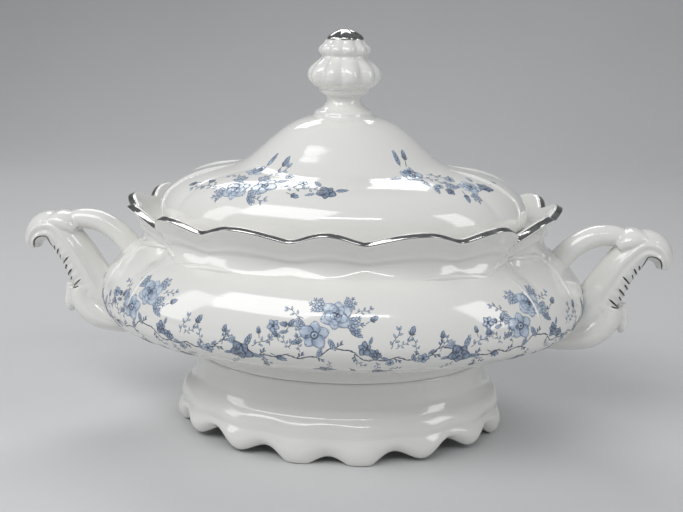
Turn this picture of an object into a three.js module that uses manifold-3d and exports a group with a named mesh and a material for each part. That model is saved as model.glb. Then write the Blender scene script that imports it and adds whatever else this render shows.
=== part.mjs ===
// Oblong covered soup tureen in white glazed porcelain with painted platinum lines.
// Millimetres, +Z up, +X along the handles, -Y is the front. Z = 0 is the table.
import * as THREE from "three";
import { mergeVertices } from "three/addons/utils/BufferGeometryUtils.js";
import Module from "manifold-3d";

const wasm = await Module();
wasm.setup();

// ---- driving sizes (mm) ----
const crestCount = 16;                          // waves round the rim, and lobes round the foot
const notchAngle = (33.75 * Math.PI) / 180;     // the four corner notches
const notchWidth = 0.085;                       // radians either side of a notch
const jointGap = 0.3;                           // space left where two pieces meet
const ringSteps = 96;                           // facets round the bowl, six to a wave
const lidSteps = 60;

// Rows: [height, half length, half depth, wave out, wave up, notch in]
const bowlOuter = [
  [38, 72.8, 53.6, 0, 0, 0],
  [41.6, 74.4, 54.8, 0, 0, 0],
  [44.6, 80, 58, 0, 0, 0],
  [46.8, 93, 63.4, 0, 0, 0.2],
  [49.2, 102.2, 69.4, 0, 0, 0.5],
  [52.6, 108.2, 76.8, 0, 0, 1],
  [58, 115.4, 85.2, 0, 0, 1.4],
  [66, 118.4, 88.6, 0, 0, 1.6],
  [76, 116, 86.4, 0, 0, 2],
  [86, 108.6, 80.2, 0, 0, 2.5],
  [91.6, 101, 73.4, 0, 0, 3],
  [95, 98.6, 71, 0.3, 0.2, 2.6],
  [101, 99, 71.8, 0.8, 0.8, 3.2],
  [106.6, 101.4, 75, 1.5, 1.7, 4.6],
  [110, 102, 76.2, 1.8, 2.2, 5.2],
];
const bowlInner = [
  [46.4, 60, 43, 0, 0, 0],
  [49.4, 80, 56, 0, 0, 0],
  [54, 98.6, 71, 0, 0, 0],
  [66, 113.8, 84.2, 0, 0, 0.6],
  [82, 105.4, 77.2, 0, 0, 0.8],
  [94, 91, 64.4, 0, 0, 0.6],
  [100, 84.6, 58.6, 0, 0, 0],
  [103.4, 84.6, 58.6, 0, 0, 0],
  [103.6, 91.4, 65.2, 0, 0, 1.2],
  [106, 95.6, 69.4, 0.8, 0.8, 3],
  [110, 98.4, 72.6, 1.6, 2.2, 4.8],
];
const mouthCut = [118, 101, 75, 1.6, 2.2, 4.8];  // carries the inner cut out past the rim
// The lower edge rises in an arch between lobes that stand flat on the table.
const footOuter = [
  [1.35, 77.4, 57.2, -1.3, 2.7, 0],
  [6.4, 80.2, 59.3, -1.2, 1.2, 0],
  [13, 79.2, 58.4, -0.9, 0.3, 0],
  [19.6, 75.2, 55.4, -0.3, 0, 0],
  [26, 72.8, 53.6, 0, 0, 0],
  [37.7, 72, 53, 0, 0, 0],
];
const footInner = [
  [37.7, 66.8, 48.4, 0, 0, 0],
  [19.6, 69.8, 50.6, 0, 0, 0],
  [9, 74.8, 54.6, -0.6, 0.8, 0],
  [1.35, 73.6, 53.6, -1, 2.7, 0],
];
const lobeFlat = -0.5;   // the wave is cut off here, which leaves a flat under each middle lobe
const lidOuter = [
  [103.8, 88, 61.8, 0, 0, 0.8],
  [107, 88.8, 62.6, 0, 0, 1.2],
  [112.6, 88.2, 62.2, 0, 0, 1.8],
  [118, 84.8, 60, 0, 0, 2],
  [122.8, 78.2, 55.8, 0, 0, 1.6],
  [126.6, 67.6, 48.8, 0, 0, 1],
  [129.6, 54.4, 40.6, 0, 0, 0.6],
  [132.6, 46.6, 35.6, 0, 0, 0],
  [138.4, 39.4, 31, 0, 0, 0],
  [144.6, 32.4, 26.4, 0, 0, 0],
  [149.8, 25.4, 21.8, 0, 0, 0],
  [152.8, 18.6, 17, 0, 0, 0],
  [153.9, 12, 12, 0, 0, 0],
];
const lidInner = [
  [101, 83.8, 57.6, 0, 0, 0],
  [108, 83.8, 57.6, 0, 0, 0],
  [114, 80.4, 55.8, 0, 0, 0],
  [121.6, 64, 45.2, 0, 0, 0],
  [128, 45.2, 33, 0, 0, 0],
  [139, 31, 23.6, 0, 0, 0],
  [147, 19.4, 15.8, 0, 0, 0],
  [149.6, 9, 8.4, 0, 0, 0],
];
const flangeRows = [
  [98.4, 80.2, 54, 0, 0, 0],
  [98.4, 83, 56.8, 0, 0, 0],
  [107.8, 83.4, 57.2, 0, 0, 0],
  [107.8, 80.8, 54.6, 0, 0, 0],
];
const rimLineHeight = 1.1;

// Finial rows: [radius, height, lobe depth]
const finialRows = [
  [13.8, 154.2, 0],
  [13, 156.4, 0],
  [9.6, 158.6, 0],
  [8, 161.4, 0],
  [10.6, 164, 0.2],
  [12.4, 166.2, 0.8],
  [16.2, 169.4, 1.7],
  [17.3, 173, 2],
  [15.2, 177.6, 1.6],
  [11, 181, 0.8],
  [12, 184, 1.1],
  [10.8, 186.6, 0.9],
  [8.6, 187.8, 0.3],
];
const finialLobes = 10;
const tipRows = [
  [8.3, 188.1, 0.2],
  [7.4, 190.6, 0.6],
  [4.4, 193, 0.5],
  [1.4, 194.2, 0],
];

// ---- materials ----
const porcelain = new THREE.MeshStandardMaterial({ color: 0xe9e9e4, roughness: 0.16, metalness: 0 });
const platinum = new THREE.MeshStandardMaterial({ color: 0x9a9a98, roughness: 0.2, metalness: 1 });

const group = new THREE.Group();

function addPiece(name, geometry, material) {
  const mesh = new THREE.Mesh(geometry, material);
  mesh.name = name;
  group.add(mesh);
}

// How far an angle is from the nearest corner notch, as a bump from 0 to 1.
function notchBump(angle) {
  let bump = 0;
  for (const corner of [notchAngle, Math.PI - notchAngle, Math.PI + notchAngle, -notchAngle]) {
    const away = Math.atan2(Math.sin(angle - corner), Math.cos(angle - corner));
    bump += Math.exp(-((away / notchWidth) ** 2));
  }
  return bump;
}

// One point of an oval wall: a row of the tables above at an angle round the axis.
function wallPoint(row, angle) {
  const [height, length, depth, waveOut, waveUp, notchIn] = row;
  const wave = Math.cos(crestCount * angle);
  const bump = notchBump(angle);
  const out = waveOut * wave - notchIn * bump;
  const up = waveUp * (wave - 0.35 * bump);
  return [(length + out) * Math.cos(angle), (depth + out) * Math.sin(angle), height + up];
}

// The same for the foot. Its lobes are cut flat below, and only the front and back pairs reach down to
// the table: the raise lifts those at the corners most and those at the ends a little.
function footPoint([height, length, depth, waveOut, waveUp], angle) {
  const wave = Math.cos(crestCount * angle);
  const raise = 0.78 + 0.32 * Math.cos(2 * angle) - 0.68 * Math.cos(4 * angle);
  const out = waveOut * wave;
  const up = waveUp * Math.max(wave + raise, lobeFlat);
  return [(length + out) * Math.cos(angle), (depth + out) * Math.sin(angle), height + up];
}

// A closed ring of wall: the rows run up the outside and back down the inside.
function ringSolid(rows, steps, pointAt = wallPoint) {
  const places = [];
  const faces = [];
  for (let i = 0; i < steps; i++) {
    const angle = (2 * Math.PI * i) / steps;
    for (const row of rows) {
      places.push(...pointAt(row, angle));
    }
  }
  const count = rows.length;
  for (let i = 0; i < steps; i++) {
    const here = i * count;
    const next = ((i + 1) % steps) * count;
    for (let j = 0; j < count; j++) {
      const up = (j + 1) % count;
      faces.push(here + j, next + j, next + up);
      faces.push(here + j, next + up, here + up);
    }
  }
  return indexed(places, faces);
}

// A solid of stacked rings closed by a fan at its first and its last ring.
function cappedSolid(rows, steps, pointAt = wallPoint) {
  const places = [];
  const faces = [];
  for (const row of rows) {
    for (let i = 0; i < steps; i++) {
      places.push(...pointAt(row, (2 * Math.PI * i) / steps));
    }
  }
  for (let j = 0; j + 1 < rows.length; j++) {
    for (let i = 0; i < steps; i++) {
      const a = j * steps + i;
      const b = j * steps + ((i + 1) % steps);
      faces.push(a, b, b + steps);
      faces.push(a, b + steps, a + steps);
    }
  }
  closeFan(places, faces, 0, steps, true);
  closeFan(places, faces, (rows.length - 1) * steps, steps, false);
  return indexed(places, faces);
}

// Closes a ring of vertices with a fan round its middle.
function closeFan(places, faces, first, steps, downward) {
  const middle = [0, 0, 0];
  for (let i = 0; i < steps; i++) {
    for (let k = 0; k < 3; k++) {
      middle[k] += places[(first + i) * 3 + k] / steps;
    }
  }
  const centre = places.length / 3;
  places.push(...middle);
  for (let i = 0; i < steps; i++) {
    const a = first + i;
    const b = first + ((i + 1) % steps);
    faces.push(...(downward ? [b, a, centre] : [a, b, centre]));
  }
}

function indexed(places, faces) {
  const geometry = new THREE.BufferGeometry();
  geometry.setAttribute("position", new THREE.Float32BufferAttribute(places, 3));
  geometry.setIndex(faces);
  geometry.computeVertexNormals();
  return geometry;
}

// A round-lobed turned piece about the vertical axis.
function turnedPoint(lobes) {
  return ([radius, height, lobe], angle) => {
    const reach = radius + lobe * (Math.abs(Math.cos((lobes * angle) / 2)) - 0.6);
    return [reach * Math.cos(angle), reach * Math.sin(angle), height];
  };
}

// ---- manifold helpers ----
function toManifold(geometry) {
  const plain = new THREE.BufferGeometry();
  plain.setAttribute("position", geometry.getAttribute("position").clone());
  if (geometry.index) {
    plain.setIndex(geometry.index.clone());
  }
  const merged = mergeVertices(plain, 1e-4);
  const vertProperties = new Float32Array(merged.attributes.position.array);
  const triVerts = new Uint32Array(merged.index.array);
  return new wasm.Manifold(new wasm.Mesh({ numProp: 3, vertProperties, triVerts }));
}

function fromManifold(solid) {
  const mesh = solid.getMesh();
  return indexed(Array.from(mesh.vertProperties), Array.from(mesh.triVerts));
}

// ---- bars that follow a path in the XZ plane, closed at both ends ----
// Stations: [x, z, half width across, half thickness in the plane]
function barSolid(stations, steps, samples) {
  const path = new THREE.CatmullRomCurve3(stations.map(([x, z]) => new THREE.Vector3(x, 0, z)));
  const sizes = new THREE.CatmullRomCurve3(stations.map(([, , w, t]) => new THREE.Vector3(w, 0, t)));
  const rows = [];
  for (let j = 0; j <= samples; j++) {
    const at = j / samples;
    rows.push({ place: path.getPoint(at), size: sizes.getPoint(at), along: path.getTangent(at) });
  }
  return cappedSolid(rows, steps, ({ place, size, along }, angle) => {
    const across = Math.cos(angle) * size.x;
    const off = Math.sin(angle) * size.z;
    return [place.x - along.z * off, across, place.z + along.x * off];
  });
}

// The smooth round arch bar, from the neck of the bowl out to the leaf's crest.
const archStations = [
  [99, 76, 6.8, 5],
  [105.4, 85.6, 6.2, 5.2],
  [112.6, 93, 5.6, 5.2],
  [121.6, 97.8, 5.4, 5.2],
  [131.6, 98.8, 5.4, 5],
  [142, 97.4, 6, 4.6],
];
// The leaf: from its root on the belly up to the crest and out to the curled tip.
const leafStations = [
  [112, 57, 9.4, 9],
  [125, 65.4, 9.8, 10.4],
  [130.6, 74.6, 9.8, 9.2],
  [135, 83.6, 9.4, 7.2],
  [140.6, 92, 9, 5.8],
  [147, 97.2, 8.8, 5],
  [153.2, 94.6, 8.6, 5],
  [155.4, 88.6, 7.8, 4.2],
  [154.8, 84.2, 6.4, 3],
];
// The foot of the leaf, a spur that flows down onto the belly.
const spurStations = [
  [103, 47, 9, 5],
  [113, 48.6, 11.6, 7],
  [121.4, 51.8, 11.8, 9],
  [128, 58, 10.4, 9],
  [131, 66, 9.4, 7],
];
// The teardrop that hangs at the lower outer end of the leaf.
const dropStations = [
  [135.4, 66, 2.4, 2.6],
  [136.4, 60.6, 2.6, 2.6],
  [136.6, 56, 3.4, 3],
  [136, 52.4, 3, 2.6],
  [135.6, 50, 1.2, 1.2],
];

// Every bar of a handle in one, trimmed where it meets the bowl.
function handleSolid(side) {
  const parts = [
    barSolid(archStations, 12, 11),
    barSolid(leafStations, 14, 14),
    barSolid(spurStations, 12, 6),
    barSolid(dropStations, 8, 5),
  ].map(toManifold);
  let solid = parts[0];
  for (const part of parts.slice(1)) {
    solid = solid.add(part);
  }
  solid = solid.subtract(toManifold(cappedSolid(clearanceRows(), ringSteps)));
  const geometry = fromManifold(solid);
  if (side < 0) {
    return geometry.rotateZ(Math.PI);
  }
  return geometry;
}

// The outside of the bowl, grown by the joint gap, as a plug to cut the handle roots with.
function clearanceRows() {
  return bowlOuter.map(([height, length, depth, waveOut, waveUp, notchIn]) => {
    return [height, length + jointGap, depth + jointGap, waveOut, waveUp, notchIn];
  });
}

// ---- pieces ----
function bowlShell() {
  const outer = toManifold(cappedSolid(bowlOuter, ringSteps));
  const inner = toManifold(cappedSolid([...bowlInner, mouthCut], ringSteps));
  return fromManifold(outer.subtract(inner));
}

function lidShell() {
  const outer = toManifold(cappedSolid(lidOuter, lidSteps));
  const inner = toManifold(cappedSolid(lidInner, lidSteps));
  return fromManifold(outer.subtract(inner));
}

// A thin film that lies on top of the rim and hangs a little over its outer edge.
function rimPlatinum() {
  const [height, length, depth, waveOut, waveUp, notchIn] = bowlOuter[bowlOuter.length - 1];
  const under = height + jointGap;
  const over = under + rimLineHeight;
  const corners = [[under, 0.1], [over, -0.4], [over, -2.4], [under, -3]];
  return ringSolid(corners.map(([z, grow]) => {
    return [z, length + grow, depth + grow, waveOut, waveUp, notchIn];
  }), ringSteps);
}

addPiece("bowl_shell", bowlShell(), porcelain);
addPiece("pedestal_foot", ringSolid([...footOuter, ...footInner], ringSteps, footPoint), porcelain);
addPiece("handle_right", handleSolid(1), porcelain);
addPiece("handle_left", handleSolid(-1), porcelain);
addPiece("rim_platinum_line", rimPlatinum(), platinum);
addPiece("lid_shell", lidShell(), porcelain);
addPiece("lid_locating_flange", ringSolid(flangeRows, lidSteps), porcelain);
addPiece("finial", cappedSolid(finialRows, 40, turnedPoint(finialLobes)), porcelain);
addPiece("finial_platinum_tip", cappedSolid(tipRows, 20, turnedPoint(finialLobes / 2)), platinum);

export default group;
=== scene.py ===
import math

import bmesh
import bpy
import numpy as np
from mathutils import Matrix, Vector
from mathutils.bvhtree import BVHTree


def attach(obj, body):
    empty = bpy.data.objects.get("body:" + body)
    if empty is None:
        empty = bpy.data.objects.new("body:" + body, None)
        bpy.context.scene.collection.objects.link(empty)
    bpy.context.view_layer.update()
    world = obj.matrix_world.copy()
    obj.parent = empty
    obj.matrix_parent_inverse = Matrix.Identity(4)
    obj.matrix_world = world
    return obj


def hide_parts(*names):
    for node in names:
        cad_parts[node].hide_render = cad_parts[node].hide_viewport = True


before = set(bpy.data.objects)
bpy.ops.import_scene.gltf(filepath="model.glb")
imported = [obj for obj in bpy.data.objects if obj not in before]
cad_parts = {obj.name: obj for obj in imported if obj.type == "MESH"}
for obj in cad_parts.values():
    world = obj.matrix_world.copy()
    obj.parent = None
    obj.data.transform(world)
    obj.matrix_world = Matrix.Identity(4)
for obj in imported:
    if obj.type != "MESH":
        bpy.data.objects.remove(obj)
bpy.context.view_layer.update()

mm = 0.001
print("frame loaded")


def feed(tree, socket, value):
    if isinstance(value, Wire):
        tree.links.new(value.socket, socket)
    else:
        socket.default_value = value


class Wire:  # one output socket, so that node maths reads as plain Python
    def __init__(self, tree, socket):
        self.tree = tree
        self.socket = socket

    def calc(self, operation, *others):
        node = self.tree.nodes.new("ShaderNodeMath")
        node.operation = operation
        for place, value in enumerate((self, *others)):
            feed(self.tree, node.inputs[place], value)
        return Wire(self.tree, node.outputs[0])

    def __add__(self, other):
        return self.calc("ADD", other)

    def __sub__(self, other):
        return self.calc("SUBTRACT", other)

    def __rsub__(self, other):
        return self.calc("MULTIPLY", -1.0).calc("ADD", other)

    def __mul__(self, other):
        return self.calc("MULTIPLY", other)

    def __truediv__(self, other):
        return self.calc("DIVIDE", other)

    def __pow__(self, other):
        return self.calc("POWER", other)

    __radd__ = __add__
    __rmul__ = __mul__


class Bench:  # a node tree under construction
    def __init__(self, tree):
        self.tree = tree

    def node(self, kind, settings=None, sockets=None, out=0):
        made = self.tree.nodes.new(kind)
        for key, value in (settings or {}).items():
            if key == "stops":
                while len(made.color_ramp.elements) < len(value):
                    made.color_ramp.elements.new(0.5)
                for stop, (place, colour) in zip(made.color_ramp.elements, value):
                    stop.position = place
                    stop.color = (*colour, 1)
            else:
                setattr(made, key, value)
        for key, value in (sockets or {}).items():
            feed(self.tree, made.inputs[key], value)
        return Wire(self.tree, made.outputs[out]) if len(made.outputs) else None

    def blend(self, amount, first, second):  # two colours through a Mix node
        sockets = {0: amount, 6: first, 7: second}
        return self.node("ShaderNodeMix", {"data_type": "RGBA"}, sockets, out=2)


def newFinish(name):
    material = bpy.data.materials.new(name)
    material.use_nodes = True
    material.node_tree.nodes.clear()
    return material, Bench(material.node_tree)


def closeFinish(bench, fixed, varying):
    shader = bench.node("ShaderNodeBsdfPrincipled", None, {**fixed, **varying})
    bench.node("ShaderNodeOutputMaterial", None, {"Surface": shader})


def newRule(name, inputs):  # a Geometry Nodes tree with named inputs
    tree = bpy.data.node_groups.new(name, "GeometryNodeTree")
    tree.interface.new_socket("Geometry", in_out="INPUT", socket_type="NodeSocketGeometry")
    for label, kind in inputs:
        tree.interface.new_socket(label, in_out="INPUT", socket_type=kind)
    tree.interface.new_socket("Geometry", in_out="OUTPUT", socket_type="NodeSocketGeometry")
    bench = Bench(tree)
    source = tree.nodes.new("NodeGroupInput")
    wires = {socket.name: Wire(tree, socket) for socket in source.outputs if socket.name}
    return tree, bench, wires


def endRule(bench, geometry, material):
    whole = bench.node("GeometryNodeRealizeInstances", None, {"Geometry": geometry})
    finished = bench.node("GeometryNodeSetMaterial", None, {"Geometry": whole, "Material": material})
    bench.node("NodeGroupOutput", None, {"Geometry": finished})


def applyRule(thing, tree, values):
    modifier = thing.modifiers.new(tree.name, "NODES")
    modifier.node_group = tree
    places = {item.name: item.identifier for item in tree.interface.items_tree if item.in_out == "INPUT"}
    for label, value in values.items():
        modifier[places[label]] = value
    return modifier


def settle(thing):  # the evaluated shape becomes the object's own plain mesh
    graph = bpy.context.evaluated_depsgraph_get()
    graph.update()
    mesh = bpy.data.meshes.new_from_object(thing.evaluated_get(graph), depsgraph=graph)
    thing.modifiers.clear()
    thing.data = mesh
    mesh.name = thing.name
    finishes = [finish for finish in mesh.materials if finish]
    mesh.materials.clear()
    for finish in finishes:
        mesh.materials.append(finish)
    mesh.polygons.foreach_set("material_index", [0] * len(mesh.polygons))
    mesh.shade_smooth()
    return thing


def newPiece(name, points, faces, smooth=True):
    mesh = bpy.data.meshes.new(name)
    mesh.from_pydata([tuple(p) for p in points], [], faces)
    mesh.update()
    if smooth:
        mesh.shade_smooth()
    thing = bpy.data.objects.new(name, mesh)
    bpy.context.scene.collection.objects.link(thing)
    return thing


def noteValues(mesh, name, values):  # one number for each vertex
    layer = mesh.attributes.new(name, "FLOAT", "POINT")
    layer.data.foreach_set("value", np.asarray(values, dtype=np.float32))


glaze = dict(colour=(0.84, 0.83, 0.795), shade=(0.79, 0.785, 0.755), rough=0.075, roughSpread=0.05)


def porcelainGlaze(name):
    material, bench = newFinish(name)
    spot = bench.node("ShaderNodeTexCoord", None, None, out="Object")
    broad = bench.node("ShaderNodeTexNoise", None, {"Vector": spot, "Scale": 16.0, "Detail": 3.0})
    fine = bench.node("ShaderNodeTexNoise", None, {"Vector": spot, "Scale": 420.0, "Detail": 2.0})
    specks = bench.node("ShaderNodeTexVoronoi", None, {"Vector": spot, "Scale": 95.0})
    pinhole = (0.055 - specks).calc("MULTIPLY", 30.0).calc("MAXIMUM", 0.0).calc("MINIMUM", 1.0)
    tone = bench.blend(broad, (*glaze["shade"], 1), (*glaze["colour"], 1))
    tone = bench.blend(pinhole * 0.16, tone, (0.42, 0.38, 0.33, 1))
    gloss = broad * glaze["roughSpread"] + fine * 0.02 + glaze["rough"] + pinhole * 0.2
    ripple = broad * 0.7 + fine * 0.05
    bump = {"Strength": 0.10, "Distance": 0.0012, "Height": ripple}
    bent = bench.node("ShaderNodeBump", None, bump)
    fixed = {"IOR": 1.52, "Coat Weight": 0.55, "Coat Roughness": 0.03, "Coat IOR": 1.5}
    closeFinish(bench, fixed, {"Base Color": tone, "Roughness": gloss, "Normal": bent})
    return material


# painted dark reflection: the platinum films are coloured darker than real platinum, standing in for
# dark surroundings mirrored in the metal
lineFilm = dict(dark=0.20, light=0.58, rough=0.05)  # the broad line on the rim and the finial's tip
# the strokes' thin film is greyer than the rim line, and its near-black colour is mostly a painted dark
# reflection
strokeFilm = dict(dark=0.03, light=0.13, rough=0.2)  # the thin brushed strokes on the handles


def platinumFilm(name, film):
    material, bench = newFinish(name)
    dark, light = film["dark"], film["light"]
    spot = bench.node("ShaderNodeTexCoord", None, None, out="Object")
    brush = bench.node("ShaderNodeTexNoise", None, {"Vector": spot, "Scale": 260.0, "Detail": 5.0})
    patches = bench.node("ShaderNodeTexNoise", None, {"Vector": spot, "Scale": 60.0, "Detail": 2.0})
    worn = ((patches - 0.66) * 9.0).calc("MAXIMUM", 0.0).calc("MINIMUM", 1.0) * 0.6
    # the dark end of this metal colour is a painted dark reflection; the brush noise between the two
    # ends is real grain
    low = (dark, dark * 0.99, dark * 0.95, 1)
    metal = bench.blend(brush, low, (light, light * 0.99, light * 0.96, 1))
    tone = bench.blend(worn, metal, (0.74, 0.73, 0.70, 1))
    bent = bench.node("ShaderNodeBump", None, {"Strength": 0.25, "Distance": 0.0003, "Height": brush})
    gloss = brush * 0.16 + film["rough"]
    varying = {"Base Color": tone, "Metallic": 1.0 - worn, "Roughness": gloss, "Normal": bent}
    closeFinish(bench, {"Coat Weight": 0.3, "Coat Roughness": 0.04}, varying)
    return material


transfer = dict(outline=0.5, grain=0.5, drift=0.25, rough=0.10)


def printedBlue():
    material, bench = newFinish("printedBlue")
    spot = bench.node("ShaderNodeTexCoord", None, None, out="Object")
    tone = bench.node("ShaderNodeAttribute", {"attribute_name": "tone"}, None, out="Fac")
    edge = bench.node("ShaderNodeAttribute", {"attribute_name": "edge"}, None, out="Fac")
    grain = bench.node("ShaderNodeTexNoise", None, {"Vector": spot, "Scale": 900.0, "Detail": 3.0})
    drift = bench.node("ShaderNodeTexNoise", None, {"Vector": spot, "Scale": 140.0, "Detail": 1.0})
    depth = tone + edge * transfer["outline"]
    depth = depth + (grain - 0.5) * transfer["grain"] + (drift - 0.5) * transfer["drift"]
    stops = [
        (0.0, (0.64, 0.69, 0.74)),
        (0.3, (0.46, 0.54, 0.65)),
        (0.58, (0.27, 0.35, 0.47)),
        (0.8, (0.145, 0.185, 0.27)),
        (1.0, (0.06, 0.075, 0.115)),
    ]
    colour = bench.node("ShaderNodeValToRGB", {"stops": stops}, {"Fac": depth})
    gloss = grain * 0.08 + transfer["rough"]
    bent = bench.node("ShaderNodeBump", None, {"Strength": 0.12, "Distance": 0.0002, "Height": grain})
    fixed = {"IOR": 1.5, "Coat Weight": 0.5, "Coat Roughness": 0.04}
    closeFinish(bench, fixed, {"Base Color": colour, "Roughness": gloss, "Normal": bent})
    return material


glazeBowl = porcelainGlaze("glazeBowl")
glazeLid = porcelainGlaze("glazeLid")
platinum = platinumFilm("platinumFilm", lineFilm)
platinumStroke = platinumFilm("platinumStroke", strokeFilm)
blueInk = printedBlue()
print("finishes made")


wave = dict(crests=16, notchTurn=33.75, notchWidth=0.06, notchDrop=1.1)
bowl = dict(finest=1.6, steps=384, sharpness=0.75, squeeze=0.04)
foot = dict(finest=1.4, steps=384, sharpness=0.0, raised=1.0, flatBelow=-0.5)
lid = dict(finest=1.5, steps=320, sharpness=0.75)
flangeRing = dict(finest=1.2, steps=192, sharpness=0.75)
belly = dict(length=118.2, depth=88.4)  # half sizes at the widest row, in mm

# rows: height, half length, half depth, then wave out, wave up and notch in where they aren't 0 (mm)
bowlRows = [
    (38, 8, 6), (38, 66, 48.6), (38.1, 71.9, 52.9), (43.6, 72.4, 53.2), (45.2, 74.8, 54.8),
    (46.2, 81.4, 57.8), (47, 89.6, 61.4), (47.6, 95.8, 64.4), (48.2, 99, 66.2),
    (49.6, 102.4, 69.6, 0, 0, 0.1), (51.8, 107, 75.2, 0, 0, 0.2), (58, 115.2, 84.8, 0, 0, 0.3),
    (66, 118.2, 88.4, 0, 0, 0.4), (76, 116, 86.4, 0, 0, 0.5), (84.6, 109.6, 81.2, 0, 0, 0.7),
    (89.4, 103.6, 75.9, 0, 0, 1.2), (91.4, 100.4, 72.9, 0, 0, 1.7), (92.6, 99.2, 71.6, 0.1, 0, 2),
    (96, 97.4, 69.7, 0.5, 0.4, 2.3), (98.8, 97.1, 69.4, 0.8, 1, 2.5),
    (100.4, 98.4, 71, 1.1, 1.3, 2.7), (102.2, 98.6, 71.3, 1.2, 1.5, 3),
    (104.6, 99.7, 72.7, 1.5, 1.8, 3.3), (107.4, 101.9, 75.2, 1.8, 1.9, 3.6),
    (108.8, 103.4, 76.6, 1.9, 2.2, 3.7), (109.5, 103.8, 77.1, 1.9, 2.2, 3.7),
    (110.1, 103.5, 77, 1.9, 2.2, 3.7), (110.8, 102, 76.25, 1.8, 2.2, 3.6),
    (111.3, 100.9, 75.6, 1.8, 2.2, 3.6), (111.4, 100.3, 75.15, 1.8, 2.2, 3.6),
    (110.9, 99.6, 74.5, 1.8, 2.2, 3.5), (110, 98.9, 73.6, 1.7, 2.1, 3.4),
    (107.6, 97, 71.4, 1.3, 1.5, 2.9), (105.4, 94.8, 68.8, 0.7, 0.6, 2),
    (104.2, 92.2, 66.2, 0.2, 0.1, 1.2), (103.5, 90.4, 64.4, 0, 0, 0.6), (103.3, 86.4, 60.4),
    (102.9, 84.7, 58.7), (100, 84.4, 58.4), (97, 87, 60.8, 0, 0, 0.2), (92, 94, 67.2, 0, 0, 0.6),
    (82, 105.4, 77.2, 0, 0, 0.8), (66, 113.6, 84, 0, 0, 0.6), (56, 102.6, 75.2), (51.4, 86, 61),
    (48.4, 66, 47), (47.4, 30, 22), (47.4, 6, 4.4),
]
footRows = [
    (1.7, 75.4, 55.4, -1.1, 2.4), (1.35, 76.7, 56.6, -1.2, 2.7), (2, 78.1, 57.8, -1.4, 2.7),
    (4.4, 79.9, 59.1, -1.5, 2.1), (8.2, 80.9, 59.7, -1.2, 1.2), (11.2, 80.1, 59.1, -0.9, 0.7),
    (12.4, 79.3, 58.5, -0.7, 0.5), (13.2, 79.1, 58.3, -0.5, 0.3), (16.2, 79.6, 58.2, -0.4),
    (18.8, 79.1, 57.4, -0.2), (20.6, 78.2, 55.9), (21.8, 76.8, 54.9), (22.8, 75.2, 54.5),
    (26, 73, 53.6), (32, 71.9, 52.9), (37.6, 72, 53), (37.8, 71.4, 52.6), (37.8, 67.6, 49.2),
    (36.6, 67, 48.6), (26, 67.6, 49), (18, 70.6, 51.4, -0.2), (9, 74, 54.2, -0.7, 1),
    (4, 74.6, 54.8, -0.9, 1.9),
]
lidRows = [
    (149.9, 4, 3.6), (149, 12.4, 11), (144.6, 24, 18.8), (134, 38, 28), (126.6, 51.6, 37.6),
    (120, 69.6, 49.4), (114, 80.4, 55.8), (109, 83.8, 57.8), (104.6, 84, 57.8),
    (103.8, 84.8, 58.6, 0, 0, 0.1), (103.8, 87, 60.8, 0, 0, 0.1), (104.4, 88.2, 62, 0, 0, 0.2),
    (107.4, 88.9, 62.7, 0, 0, 0.3), (112.6, 88.3, 62.3, 0, 0, 0.4), (116.4, 86.2, 60.9, 0, 0, 0.5),
    (120.2, 82.2, 58.4, 0, 0, 0.5), (123.6, 76.6, 54.9, 0, 0, 0.4), (126.8, 67.6, 48.8, 0, 0, 0.3),
    (128.8, 58.4, 43.2, 0, 0, 0.2), (130.2, 51.6, 39, 0, 0, 0.1), (132.6, 46.4, 35.6),
    (138.4, 39.5, 31), (144.6, 32.4, 26.4), (149.8, 25.2, 21.6), (152.8, 18.4, 16.8),
    (153.8, 13.6, 13), (153.9, 4, 4),
]
flangeRows = [
    (98.6, 80.4, 54.2), (98.3, 81.4, 55.2), (98.6, 82.6, 56.4), (100.4, 83.1, 56.9),
    (107.6, 83.4, 57.2), (107.8, 83, 56.8), (107.8, 81.2, 55), (107, 80.8, 54.6),
]


def between(rows, slopes, gap, i, t):  # a smooth step from row i to the next, t running from 0 to 1
    near = (2 * t ** 3 - 3 * t ** 2 + 1) * rows[i] + (3 * t ** 2 - 2 * t ** 3) * rows[i + 1]
    lean = (t ** 3 - 2 * t ** 2 + t) * slopes[i] + (t ** 3 - t ** 2) * slopes[i + 1]
    return near + lean * gap


def smoothRows(rows, finest, ring=False):  # a curve through the rows, sampled about every finest mm
    rows = np.array([(*row, *(0,) * (6 - len(row))) for row in rows], float)
    if ring:
        rows = np.vstack([rows[-1:], rows, rows[:2]])
    gaps = np.maximum(np.hypot(np.diff(rows[:, 0]), np.diff(rows[:, 2])), 1e-3)
    slopes = np.zeros_like(rows)
    slopes[1:-1] = (rows[2:] - rows[:-2]) / (gaps[1:] + gaps[:-1])[:, None]
    slopes[0] = (rows[1] - rows[0]) / gaps[0]
    slopes[-1] = (rows[-1] - rows[-2]) / gaps[-1]
    first, last = (1, len(rows) - 2) if ring else (0, len(rows) - 1)
    made = []
    for i in range(first, last):
        count = max(2, int(round(gaps[i] / finest)))
        made += [between(rows, slopes, gaps[i], i, t) for t in np.arange(count) / count]
    if not ring:
        made.append(rows[-1])
    return np.array(made)


def girth(length, depth, turns):  # distance walked round an oval, from its +X end
    step = np.linspace(0, 2 * np.pi, 4001)
    x, y = length * np.cos(step), depth * np.sin(step)
    walked = np.concatenate([[0], np.cumsum(np.hypot(np.diff(x), np.diff(y)))])
    return np.interp(turns, step, walked), walked[-1]


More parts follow.
